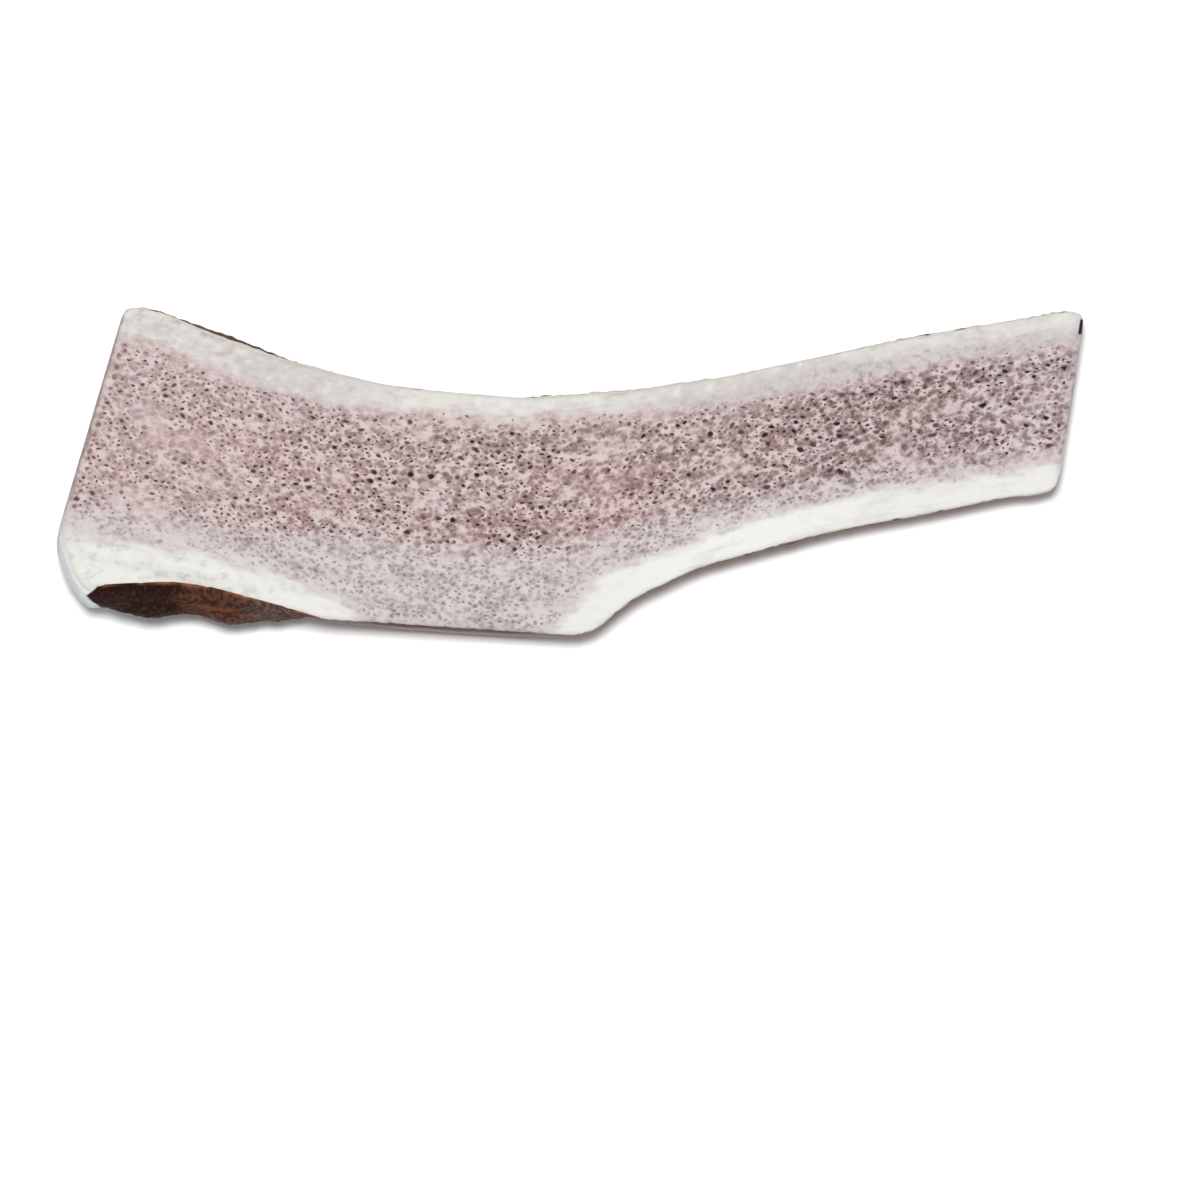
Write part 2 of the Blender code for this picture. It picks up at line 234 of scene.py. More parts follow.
# Colours as they show in the studio's light, from 0 to 255. The wall's are from the base end on.
WALL_BELOW = [(228, 228, 223), (233, 233, 229), (229, 228, 225)]
WALL_ABOVE = [(216, 213, 207), (206, 201, 197), (214, 210, 206)]
WALL_GREY = (200, 193, 189)
WALL_DULL = (194, 185, 181)
WALL_CREAM = (227, 224, 210)
WALL_FLECKS = (172, 161, 159)
WALL_GLINTS = (233, 231, 226)
CORE_TONES = [(192, 168, 169), (206, 186, 184)]
CORE_BLOOD = (190, 156, 153)
CORE_RUST = (180, 136, 116)
CORE_PAST_TINE = (178, 157, 157)
CORE_BY_TIP = (203, 188, 189)
CORE_PALE_TONES = [(194, 184, 184), (210, 203, 201)]
CORE_RIM = (195, 185, 186)
CORE_BARS = (220, 207, 205)
CORE_OPENINGS = [(110, 82, 81), (94, 67, 69)]
# The pores' dark stain, with painted shade that deepens towards each pore's bottom
PORE_STAINS_AND_SHADE = [(152, 128, 126), (98, 70, 69), (36, 18, 18)]
# Painted shade on the tine cut, darkest by the split face, and a redder painted shade towards the base end
TINE_PAINTED_SHADES = [(104, 74, 69), (76, 50, 46)]
TINE_PAINTED_SHADE_RED = (84, 42, 32)
# Darker along the base end's edge by the split face
BASE_EDGE_DARK = (112, 100, 99)
# Painted shade of the slit in the tip end's corner
SLIT_PAINTED_SHADE = (22, 14, 14)
BARK_TONES = [(102, 51, 30), (160, 93, 57)]
BARK_WORN = (210, 160, 128)
BARK_GROOVES = (50, 24, 17)
BARK_PEBBLES = [(196, 140, 104), (70, 34, 22)]
# Painted shade on the bark's lower side by the base end, grey-brown to near-black; the near-black also
# colours dark bark by the upper edge
BARK_SHADE_GREYS = [(76, 56, 50), (118, 94, 88)]
BARK_SHADE_BROWNS = [(58, 30, 20), (98, 60, 44), (134, 78, 42)]
BARK_DARK_AND_SHADE = [(34, 12, 7), (76, 38, 24)]
BARK_RED = (126, 64, 42)
BARK_EDGE = (172, 104, 74)
SANDED_WHITE = (244, 246, 247)
SKIN_TONES = [(229, 223, 213), (104, 84, 80)]


def smooth(values, knots, at):
    """The value at one place of a smooth curve that passes through the values at the knots."""
    slopes = np.gradient(values, knots)
    first = int(np.clip(np.searchsorted(knots, at, side="right") - 1, 0, len(knots) - 2))
    step = knots[first + 1] - knots[first]
    f = (at - knots[first]) / step
    return (
        values[first] * (1 + 2 * f) * (1 - f) ** 2
        + values[first + 1] * f * f * (3 - 2 * f)
        + slopes[first] * step * f * (1 - f) ** 2
        - slopes[first + 1] * step * f * f * (1 - f)
    )


def ease(low, high, value):
    """0 at low, 1 at high, and a smooth rise between."""
    f = np.clip((value - low) / (high - low), 0.0, 1.0)
    return f * f * (3 - 2 * f)


def at_least(least, share):
    """The least where a share is 0, and 1 where it is 1."""
    return least + (1 - least) * share


def waves(x, y, seed):
    """Smooth noise between about -0.5 and 0.5."""
    return noise.noise(Vector((x, y, seed)))


def way_along(points):
    """The distance to each point of a line of them, from its start."""
    return np.concatenate([[0.0], np.cumsum(norm(np.diff(points, axis=0), axis=1))])


def tine_cut_axes():
    """The tine cut's start, the direction of its line in the split face, and the way out from it."""
    start, end = np.array(TINE_CUT_START), np.array(TINE_CUT_END)
    along = (end - start) / norm(end - start)
    return start, along, np.array([along[1], -along[0]])


def past_tine_cut(spots):
    """How far spots in space stand out past the plane of the tine cut."""
    start, _, out = tine_cut_axes()
    lean = math.tan(math.radians(TINE_CUT_LEAN))
    return (spots[:, :2] - start) @ out + spots[:, 2] * lean


def tine_share(x):
    """1 beside the middle of the tine's root, and less to both sides along the beam."""
    return math.exp(-(((x - TINE_MIDDLE_X) / TINE_REACH) ** 2))


def wander(at, around):
    """The way round the bark, bent so that ridges drawn by it wander."""
    return around + RIDGE_WANDER * waves(at / WANDER_LENGTH, around / WANDER_WIDTH, 3.1)


def relief(at, turn, x, from_tine_cut):
    """The bark's height, by the distance along the beam and the share of the turn round it.

    The ridges run along the beam. By the tine's root they run out along the tine instead, and near
    the beam's base lumps lie over them."""
    around = turn * BARK_WIDTH
    wandered = wander(at, around)
    ridges = waves(at / RIDGE_LENGTH, wandered / RIDGE_SPACING, 0.7)
    ripples = waves(at / RIPPLE_LENGTH, wandered / RIPPLE_SPACING, 9.3)
    height = RIDGE_HEIGHT * (ridges + RIPPLE_SHARE * ripples)
    turning = tine_share(x) * math.exp(-((from_tine_cut / TINE_RIDGE_REACH) ** 2))
    tine_ridges = waves(x / TINE_RIDGE_SPACING, from_tine_cut / TINE_RIDGE_LENGTH, 6.2)
    height += turning * (TINE_RIDGE_HEIGHT * tine_ridges - height)
    lumpy = (1 - ease(*BASE_LUMPS_FADE, x)) * (1 - ease(*BASE_LUMPS_TURN, turn))
    lumps = waves(at / BASE_LUMP_SIZE, around / BASE_LUMP_SIZE, 5.5)
    return height + lumpy * BASE_LUMP_HEIGHT * lumps


def fine_relief(at, turn):
    """Fine ridges, pebbles and the long narrow grooves in the bark."""
    around = turn * BARK_WIDTH
    wandered = wander(at, around)
    ridges = waves(at / FINE_RIDGE_LENGTH, wandered / FINE_RIDGE_SPACING, 4.4)
    pebbles = waves(at / PEBBLE_SIZE, around / PEBBLE_SIZE, 8.8)
    line = waves(at / GROOVE_LENGTH, wandered / GROOVE_SPACING, 2.2) / GROOVE_SHARE
    return FINE_RIDGE_HEIGHT * ridges + PEBBLE_HEIGHT * pebbles - GROOVE_DEPTH * math.exp(-line * line)


class Section:
    """One cross-section of the piece, drawn in the plane through an upper and a lower edge point."""

    def __init__(self, at, numbers):
        self.at = at
        self.upper = np.array(numbers[0:2])
        self.lower = np.array(numbers[2:4])
        self.depth, self.upper_bulge, self.lower_bulge = numbers[4:7]
        self.width = float(norm(self.upper - self.lower))
        self.across = (self.upper - self.lower) / self.width
        self.skew = 1 - TINE_SKEW * tine_share(self.lower[0])

    def past_cut(self):
        """How far the lower edge point stands out past the tine cut."""
        return past_tine_cut(np.array([[*self.lower, 0.0]]))[0]

    def plain(self, angle):
        """Points of the bark without its relief: the way in from the lower edge, and the height."""
        power = 2 / ROUNDNESS
        cosine = np.cos(angle)
        down = np.abs(np.sin(angle)) ** power
        share = 0.5 * (1 - np.sign(cosine) * np.abs(cosine) ** power)
        bulge = np.sin(math.pi * down**BULGE_RISE)
        out = np.where(cosine > 0, -self.lower_bulge * bulge, self.upper_bulge * bulge)
        return np.stack([self.width * share**self.skew + out, -self.depth * down], axis=-1)

    def place(self, points):
        """Points of the section's plane as spots in space."""
        return np.column_stack([self.lower + points[:, :1] * self.across, points[:, 1]])

    def bark(self, angle):
        """Spots in space on the bark with its relief, and the height of the relief."""
        near = 1e-3
        plain = self.plain(angle)
        along = self.plain(np.minimum(angle + near, math.pi)) - self.plain(np.maximum(angle - near, 0))
        along /= np.maximum(norm(along, axis=-1, keepdims=True), 1e-9)
        outward = np.stack([along[:, 1], -along[:, 0]], axis=-1)
        spots = self.place(plain)
        inside = -past_tine_cut(spots)
        turn = angle / math.pi
        coarse = np.array([relief(self.at, t, s[0], d) for t, s, d in zip(turn, spots, inside)])
        fine = np.array([fine_relief(self.at, t) for t in turn])
        sides = np.sin(angle)
        shift = coarse * ease(0.0, EDGE_FADE, sides) + fine * ease(0.0, FINE_FADE, sides)
        points = plain + outward * shift[:, None]
        points[:, 1] = np.where(sides < TINY, 0.0, np.minimum(points[:, 1], 0.0))
        return self.place(points), coarse + fine

    def ring(self):
        """Spots round the bark from the lower edge, or from the tine cut, to the upper edge, with the
        height of the relief and the share of the turn there."""
        start = 0.0
        corner = None
        if self.past_cut() > TINY:
            angle = np.linspace(0, math.pi, EDGE_SAMPLES)
            spots, _ = self.bark(angle)
            past = past_tine_cut(spots)
            i = int(np.flatnonzero(past > 0)[-1])
            f = past[i] / (past[i] - past[i + 1])
            start = angle[i] + f * (angle[i + 1] - angle[i])
            corner = spots[i] + f * (spots[i + 1] - spots[i])
        angle = np.linspace(start, math.pi, EDGE_SAMPLES)
        length = way_along(self.plain(angle))
        even = np.interp(np.linspace(0, length[-1], BARK_STEPS + 1), length, angle)
        even[-1] = math.pi
        spots, rise = self.bark(even)
        if corner is not None:
            spots[0] = corner
        return spots, rise, even / math.pi


def section_maker():
    """A function that draws the section at a distance along the beam, and the beam's length."""
    table = np.array([(*row, 0.0, 0.0)[:7] for row in SECTIONS])
    knots = way_along((table[:, 0:2] + table[:, 2:4]) / 2)
    return lambda at: Section(at, [float(smooth(column, knots, at)) for column in table.T]), knots[-1]


def tine_corners(section, length):
    """The distances along the beam where the lower edge meets the tine cut."""
    places = np.linspace(0, length, CORNER_SAMPLES)
    past = [section(at).past_cut() > 0 for at in places]
    found = []
    for i in range(len(places) - 1):
        if past[i] == past[i + 1]:
            continue
        low, high = places[i], places[i + 1]
        for _ in range(CORNER_HALVINGS):
            half = (low + high) / 2
            low, high = (half, high) if (section(half).past_cut() > 0) == past[i] else (low, half)
        found.append(half)
    return found[0], found[-1]


def stations():
    """The sections to draw, and the numbers of the two at the corners of the tine cut."""
    section, length = section_maker()
    fixed = [0.0, *tine_corners(section, length), length]
    places = [0.0]
    corners = []
    for low, high in zip(fixed, fixed[1:]):
        count = round((high - low) / STATION_STEP)
        places += list(np.linspace(low, high, count + 1)[1:])
        corners.append(len(places) - 1)
    return [section(at) for at in places], corners[0], corners[1]


def from_line(points, line):
    """Distances from flat points to a line of straight steps."""
    found = np.full(len(points), np.inf)
    for start, step in zip(line[:-1], np.diff(line, axis=0)):
        share = np.clip(((points - start) @ step) / max(step @ step, 1e-12), 0, 1)
        found = np.minimum(found, norm(points - start - share[:, None] * step, axis=1))
    return found


def into_core(flat):
    """How far places of the split face are inside the porous core, and below 0 in the wall."""
    upper, lower = np.array(UPPER_CORE, float), np.array(LOWER_CORE, float)
    inside = flat[:, 1] < np.interp(flat[:, 0], *upper.T)
    inside &= flat[:, 1] > np.interp(flat[:, 0], *lower.T)
    away = np.minimum(from_line(flat, upper), from_line(flat, lower))
    return np.where(inside, away, -away)


def inward(outline):
    """The way in from each point of a closed outline that runs anticlockwise."""
    way = np.roll(outline, -1, axis=0) - np.roll(outline, 1, axis=0)
    way /= norm(way, axis=1, keepdims=True)
    return np.column_stack([-way[:, 1], way[:, 0]])


def closed(outline):
    return np.vstack([outline, outline[:1]])


def triangulate(outline, inner, edges=()):
    """Triangles over a flat outline and the points in it, by their numbers in outline + inner."""
    points = [Vector(p) for p in np.vstack([outline, inner])]
    border = list(range(len(outline)))
    _, _, faces, origin, _, inside = delaunay_2d_cdt(points, list(edges), [border], 0, TINY, True)
    return [[origin[corner][0] for corner in face] for face, owner in zip(faces, inside) if owner]


def grid(outline, step):
    """Staggered points over the box of an outline."""
    low, high = outline.min(axis=0), outline.max(axis=0)
    rows = np.arange(low[1], high[1], step * math.sin(math.radians(60)))
    places = np.arange(low[0], high[0], step)
    return np.array([(x + j % 2 * step / 2, y) for j, y in enumerate(rows) for x in places])


class Chew:
    """The whole surface as it is put together, with what the materials need to know of each point."""

    def __init__(self):
        self.sections, self.first, self.last = stations()
        self.at = np.array([section.at for section in self.sections])
        rings = [section.ring() for section in self.sections]
        self.spots = np.vstack([ring[0] for ring in rings])
        self.rise = np.concatenate([ring[1] for ring in rings])
        self.turn = np.concatenate([ring[2] for ring in rings])
        self.beam = np.repeat(self.at, BARK_STEPS + 1)
        self.rim = np.concatenate([self.from_cuts(i, ring[0]) for i, ring in enumerate(rings)])
        self.core = np.full(len(self.spots), -END_WALL)
        self.pit = np.zeros(len(self.spots))
        self.dark = np.zeros(len(self.spots))
        self.faces = []
        self.sheets = []

    def from_cuts(self, i, spots):
        """How far over the bark a ring's spots are from the nearest cut."""
        way = way_along(spots)
        end = min(self.at[i], self.at[-1] - self.at[i])
        return np.minimum(np.minimum(way, way[-1] - way), end)

    def number(self, i, k):
        """The number of the vertex at a station and a step round its ring."""
        return i * (BARK_STEPS + 1) + k

    def add(self, spots, core, pit=0.0, dark=0.0):
        """Adds vertices on a cut, and returns their numbers."""
        first = len(self.spots)
        none = np.zeros(len(spots))
        self.spots = np.vstack([self.spots, spots])
        added = {"core": core, "pit": pit, "dark": dark, "rise": 0, "turn": 0, "beam": 0, "rim": 0}
        for name, values in added.items():
            setattr(self, name, np.concatenate([getattr(self, name), none + values]))
        return list(range(first, len(self.spots)))

    def put(self, faces, sheet):
        self.faces += faces
        self.sheets += [sheet] * len(faces)

    def chord(self, start, end):
        """New vertices on the straight edge between two others, in that order."""
        a, b = self.spots[start], self.spots[end]
        count = round(norm(b - a) / CHORD_STEP)
        spots = a + np.linspace(0, 1, count + 1)[1:-1, None] * (b - a)
        return self.add(spots, into_core(spots[:, :2]))

    def cap(self, border, flat, place, wall, open_steps, sheet):
        """Fills a flat cut. Its border's last points are on the split face, and the others on bark."""
        inner = grid(flat, CAP_STEP)
        inner = inner[from_line(inner, closed(flat)) > CAP_STEP * 0.5]
        triangles = triangulate(flat, inner)
        deep = from_line(inner, flat[: len(flat) - open_steps]) - wall
        numbers = border + self.add(place(inner), deep)
        self.put([[numbers[corner] for corner in triangle] for triangle in triangles], sheet)


def paleness(flat):
    """How far places belong to the paler part of the core, from 0 to 1."""
    return ease(*PALE_BLEND, np.interp(flat[:, 0], *np.array(PALE_LINE).T) - flat[:, 1])


def openness(flat, core):
    """How open the core is at places, from 0 in the wall to 1."""
    base = at_least(BASE_OPEN, ease(*BASE_OPEN_X, flat[:, 0]))
    return ease(0.0, OPENING_WIDTH, core) * base * (1 - (1 - PALE_OPEN) * paleness(flat))


def middle_line(x):
    """The y of the beam's middle line at each x."""
    knots, heights = np.array(MIDDLE_LINE, float).T
    steps = np.arange(knots[0], knots[-1])
    return np.interp(x, steps, [smooth(heights, knots, at) for at in steps])


def pore_gathering(spot, side):
    """How the pores gather in rows, patches and clumps, from 0 to 1."""
    x, y = spot
    rows = waves(x / PORE_ROWS[0], side / PORE_ROWS[1], 1.9)
    patches = waves(x / PORE_PATCHES[0], side / PORE_PATCHES[1], 7.7)
    clumps = waves(x / PORE_CLUMP, y / PORE_CLUMP, 4.3)
    total = sum(scale * value for scale, value in zip(PORE_GATHERERS, (rows, patches, clumps)))
    return float(ease(*PORE_GATHERING, total))


def inside_rim(places, rim):
    """Which flat places are inside a closed rim."""
    inside = np.zeros(len(places), bool)
    x, y = places.T
    for (ax, ay), (bx, by) in zip(rim, np.roll(rim, -1, axis=0)):
        crosses = (ay > y) != (by > y)
        inside ^= crosses & (x < ax + (bx - ax) * (y - ay) / ((by - ay) or 1.0))
    return inside


class Room:
    """Keeps pores apart, by the small squares of the split face that they take up."""

    def __init__(self, low, high):
        self.low = low
        self.taken = np.zeros(np.ceil((high - low) / PORE_CELL).astype(int) + 1, bool)

    def is_free(self, spot):
        i, j = ((spot - self.low) / PORE_CELL).astype(int)
        return not self.taken[i, j]

    def take(self, rim):
        """Takes the squares inside a rim and next to them, unless one inside it is taken.

        Returns whether it took them."""
        first = np.floor((rim.min(axis=0) - self.low) / PORE_CELL).astype(int)
        last = np.ceil((rim.max(axis=0) - self.low) / PORE_CELL).astype(int)
        squares = np.mgrid[first[0] : last[0], first[1] : last[1]].reshape(2, -1)
        i, j = squares[:, inside_rim(self.low + (squares.T + 0.5) * PORE_CELL, rim)]
        if self.taken[i, j].any():
            return False
        for di in (-1, 0, 1):
            for dj in (-1, 0, 1):
                self.taken[i + di, j + dj] = True
        return True


def pore_rim(draw, slope, length):
    """Points round one pore, anticlockwise from its middle at 0, 0."""
    turn = slope + math.radians(draw.uniform(-PORE_TURN, PORE_TURN))
    grain = np.array([math.cos(turn), math.sin(turn)])
    side = np.array([-grain[1], grain[0]]) * draw.uniform(*PORE_SHAPE)
    rim = []
    for k in range(PORE_SIDES):
        around = 2 * math.pi * (k + draw.uniform(-PORE_SIDE_SHIFT, PORE_SIDE_SHIFT)) / PORE_SIDES
        reach = length / 2 * (1 + draw.uniform(-PORE_UNEVEN, PORE_UNEVEN))
        rim.append(reach * (grain * math.cos(around) + side * math.sin(around)))
    return np.array(rim)


def pores(outline):
    """The middle, rim, length and darkness of each pore of the split face."""
    draw = random.Random(PORE_SEED)
    low, high = outline.min(axis=0), outline.max(axis=0)
    tries = np.array([[draw.uniform(low[i], high[i]) for i in (0, 1)] for _ in range(PORE_TRIES)])
    tries = tries[into_core(tries) > 0]
    tries = tries[inside_rim(tries, outline)]
    tries = tries[from_line(tries, closed(outline)) > PORE_EDGE_GAP]
    x, y = tries.T
    slopes = np.arctan((middle_line(x + 1) - middle_line(x - 1)) / 2)
    room = Room(low - PORE_EDGE_GAP, high + PORE_EDGE_GAP)
    found = []
    shortest, longest = PORE_LENGTH
    for spot, share, side, slope in zip(tries, openness(tries, into_core(tries)), y - middle_line(x), slopes):
        if not room.is_free(spot):
            continue
        gathered = pore_gathering(spot, side)
        if draw.random() > share * gathered:
            continue
        longer = (longest - shortest) * at_least(CLOSED_LENGTH, share)
        length = shortest + longer * draw.random() ** PORE_SIZES
        rim = pore_rim(draw, slope, length)
        wall = PORE_WALL * rim / norm(rim, axis=1, keepdims=True)
        if not room.take(spot + rim + wall):
            continue
        dark = draw.random() ** PORE_DARKNESS
        dark *= at_least(SPARSE_DARK, gathered) * at_least(CLOSED_DARK, share)
        found.append((spot, spot + rim, length, at_least(PORE_LEAST_DARK, dark)))
    return found


def is_over_pore(triangle, first, last):
    """Whether a triangle fills a pore, whose rim's numbers are from first to last, PORE_SIDES each."""
    if min(triangle) < first or max(triangle) >= last:
        return False
    owners = {(corner - first) // PORE_SIDES for corner in triangle}
    steps = [(b - a) % PORE_SIDES for a, b in zip(triangle, triangle[1:] + triangle[:1])]
    return len(owners) == 1 and sum(steps) == PORE_SIDES


def split_face(chew, border):
    """Fills the split face, with its pores sunk into it."""
    outline = chew.spots[border, :2]
    middles, rims, lengths, darks = (np.array(values) for values in zip(*pores(outline)))
    tree = kdtree.KDTree(len(middles))
    for n, spot in enumerate(middles):
        tree.insert((*spot, 0.0), n)
    tree.balance()
    filler = grid(outline, FILL_STEP)
    filler = filler[from_line(filler, closed(outline)) > RIM_ROWS[-1] + FILL_STEP / 2]
    rows = [outline + inward(outline) * row for row in RIM_ROWS]
    rows = [line[from_line(line, closed(outline)) > row * 0.9] for line, row in zip(rows, RIM_ROWS)]
    filler = np.vstack([filler, *rows])
    clear = PORE_LENGTH[1] * (1 + PORE_UNEVEN) / 2
    filler = filler[[tree.find((*spot, 0.0))[2] > clear for spot in filler]]

    first = len(outline)
    last = first + len(middles) * PORE_SIDES
    sides = [(first + k, first + (k + 1) % PORE_SIDES) for k in range(PORE_SIDES)]
    sides = [(a + n * PORE_SIDES, b + n * PORE_SIDES) for n in range(len(middles)) for a, b in sides]
    around = np.vstack([rims.reshape(-1, 2), filler])
    triangles = triangulate(outline, around, sides)
    triangles = [triangle for triangle in triangles if not is_over_pore(triangle, first, last)]
    middle = first + len(around)
    triangles += [(a, b, middle + (a - first) // PORE_SIDES) for a, b in sides]

    inner = np.vstack([around, middles])
    none = np.zeros(len(filler))
    heights = np.concatenate([np.zeros(len(around)), -PORE_DEPTH * lengths * darks])
    pits = np.concatenate([np.zeros(len(around)), np.ones(len(middles))])
    darks = np.concatenate([np.repeat(darks, PORE_SIDES), none, darks])
    numbers = border + chew.add(np.column_stack([inner, heights]), into_core(inner), pits, darks)
    chew.put([[numbers[corner] for corner in triangle] for triangle in triangles], FACE)


def build_surface():
    """The whole surface of the chew, with its edges still sharp."""
    chew = Chew()
    first, last, count = chew.first, chew.last, len(chew.sections)
    bark = [
        [chew.number(i, k), chew.number(i + 1, k), chew.number(i + 1, k + 1), chew.number(i, k + 1)]
        for i in range(count - 1)
        for k in range(BARK_STEPS)
    ]
    chew.put(bark, BARK)
    lower = [chew.number(i, 0) for i in range(count)]
    upper = [chew.number(i, BARK_STEPS) for i in range(count)]
    at_face = lower[: first + 1] + lower[last:] + upper
    chew.core[at_face] = into_core(chew.spots[at_face, :2])
    tine_edge = chew.chord(lower[first], lower[last])
    tip_edge = chew.chord(lower[-1], upper[-1])
    base_edge = chew.chord(upper[0], lower[0])
    split_face(chew, lower[: first + 1] + tine_edge + lower[last:] + tip_edge + upper[::-1] + base_edge)

    for i, edge, sheet in ((0, base_edge, BASE), (count - 1, tip_edge[::-1], TIP)):
        section = chew.sections[i]
        numbers = [chew.number(i, k) for k in range(BARK_STEPS + 1)] + edge
        flat = np.column_stack(across_plane(chew.spots[numbers], section.lower, section.across))
        chew.cap(numbers, flat, section.place, END_WALL, len(edge), sheet)

    start, along, out = tine_cut_axes()
    lean = math.tan(math.radians(TINE_CUT_LEAN))
    numbers = lower[first : last + 1] + tine_edge[::-1]
    flat = np.column_stack(across_plane(chew.spots[numbers], start, along))

    def place(points):
        return np.column_stack([start + points[:, :1] * along - points[:, 1:] * lean * out, points[:, 1]])

    chew.cap(numbers, flat, place, TINE_WALL, len(tine_edge), TINE)
    chew.on_sheet = np.zeros((len(chew.spots), len(SHEET_ORIGINS)), bool)
    for face, sheet in zip(chew.faces, chew.sheets):
        chew.on_sheet[face, sheet] = True
    return chew


def across_plane(spots, start, way):
    """How far spots are along a flat direction from a start, and their heights."""
    return (spots[:, :2] - start) @ way, spots[:, 2]


def wear_edges(chew, mesh):
    """Rounds the edges between the cuts and the bark, by smoothing the points on and near them."""
    ends = np.empty(len(mesh.edges) * 2, int)
    mesh.edges.foreach_get("vertices", ends)
    ends = ends.reshape(-1, 2)
    count = len(chew.spots)
    neighbours = np.maximum(np.bincount(ends.ravel(), minlength=count), 1)[:, None]
    edge = chew.on_sheet.sum(axis=1) > 1
    end_edge = edge & (chew.on_sheet[:, BASE] | chew.on_sheet[:, TIP])
    for reached, wear, rounds in ((edge, EDGE_WEAR, EDGE_ROUNDS), (end_edge, END_WEAR, END_ROUNDS)):
        weight = np.where(reached, wear[0], 0.0)
        for share in wear[1:]:
            grown = reached.copy()
            grown[ends[reached[ends].any(axis=1)]] = True
            weight[grown & ~reached] = share
            reached = grown
        for _ in range(rounds):
            total = np.zeros((count, 3))
            np.add.at(total, ends[:, 0], chew.spots[ends[:, 1]])
            np.add.at(total, ends[:, 1], chew.spots[ends[:, 0]])
            chew.spots += WEAR_STEP * weight[:, None] * (total / neighbours - chew.spots)


def placement(frame):
    """How the split face's frame, in metres, sits in the part's frame."""
    lean = Matrix.Rotation(math.radians(ROLL), 4, "X") @ Matrix.Rotation(math.radians(PITCH), 4, "Y")
    mark = next(mount for mount in frame["record"]["mounts"] if mount["name"] == "split_face")
    return Matrix.Translation(Vector(mark["pos_m"]) - lean @ (Vector(FACE_MARK) * MM)) @ lean


def add_uv_map(chew, mesh):
    """Lays the bark and each cut out flat as sheets of one UV map, all at one scale."""
    start, along, _ = tine_cut_axes()
    base, tip = chew.sections[0], chew.sections[-1]
    spots = chew.spots
    sheets = [
        (chew.beam, chew.turn * BARK_WIDTH),
        (spots[:, 0], spots[:, 1]),
        across_plane(spots, base.lower, base.across),
        across_plane(spots, tip.lower, tip.across),
        across_plane(spots, start, along),
    ]
    places = np.array([np.column_stack(sheet) + origin for sheet, origin in zip(sheets, SHEET_ORIGINS)])
    corners = np.empty(len(mesh.loops), int)
    mesh.loops.foreach_get("vertex_index", corners)
    sizes = np.empty(len(mesh.polygons), int)
    mesh.polygons.foreach_get("loop_total", sizes)
    sheet_of = np.repeat(chew.sheets, sizes)
    flat = places[sheet_of, corners] / SHEET_SIZE
    mesh.uv_layers.new(name="OFBake").data.foreach_set("uv", flat.ravel())


def new_object(name, data):
    """An object of a mesh, light or camera, in the scene."""
    made = bpy.data.objects.new(name, data)
    bpy.context.scene.collection.objects.link(made)
    return made


def make_chew(frame):
    chew = build_surface()
    mesh = bpy.data.meshes.new("antler")
    mesh.from_pydata([tuple(p) for p in chew.spots], [], chew.faces)
    wear_edges(chew, mesh)
    world = np.array(placement(frame))
    spots = (chew.spots * MM) @ world[:3, :3].T + world[:3, 3]
    spots[:, 2] = np.maximum(spots[:, 2], 0.0)
    mesh.vertices.foreach_set("co", spots.ravel())
    mesh.materials.append(bark_material())
    mesh.materials.append(sawn_material())
    mesh.polygons.foreach_set("material_index", [int(sheet != BARK) for sheet in chew.sheets])

    x, y, z = chew.spots.T
    grain = np.column_stack([x, y - middle_line(x), z])
    bark = np.column_stack([chew.beam, chew.turn * BARK_WIDTH, np.zeros(len(x))])
    for name, values in (("place", chew.spots), ("grain", grain), ("bark", bark)):
        mesh.attributes.new(name, "FLOAT_VECTOR", "POINT").data.foreach_set("vector", values.ravel())
    shares = {
        **{name: getattr(chew, name) for name in ("core", "rise", "pit", "dark", "rim")},
        "open": openness(chew.spots, chew.core),
        "pale": np.maximum(paleness(chew.spots), np.where(chew.on_sheet[:, FACE], 0.0, CUT_PALE)),
        "tine": chew.on_sheet[:, TINE] & ~chew.on_sheet[:, FACE],
        "base": chew.on_sheet[:, BASE],
    }
    for name, values in shares.items():
        mesh.attributes.new(name, "FLOAT", "POINT").data.foreach_set("value", values.astype(float))
    add_uv_map(chew, mesh)

    surface = bmesh.new()
    surface.from_mesh(mesh)
    loose = [v for v in surface.verts if not v.link_faces]
    bmesh.ops.delete(surface, geom=loose, context="VERTS")
    bmesh.ops.recalc_face_normals(surface, faces=surface.faces[:])
    surface.to_mesh(mesh)
    surface.free()
    mesh.shade_smooth()
    return new_object("antler", mesh)


def paint(red, green, blue):
    """A colour given as it shows in the studio's light, from 0 to 255, as the shader takes it."""
    linear = [((c / 255 + 0.055) / 1.055) ** 2.4 if c > 10 else c / 255 / 12.92 for c in (red, green, blue)]
    return (*(c / LIGHT_LEVEL for c in linear), 1.0)


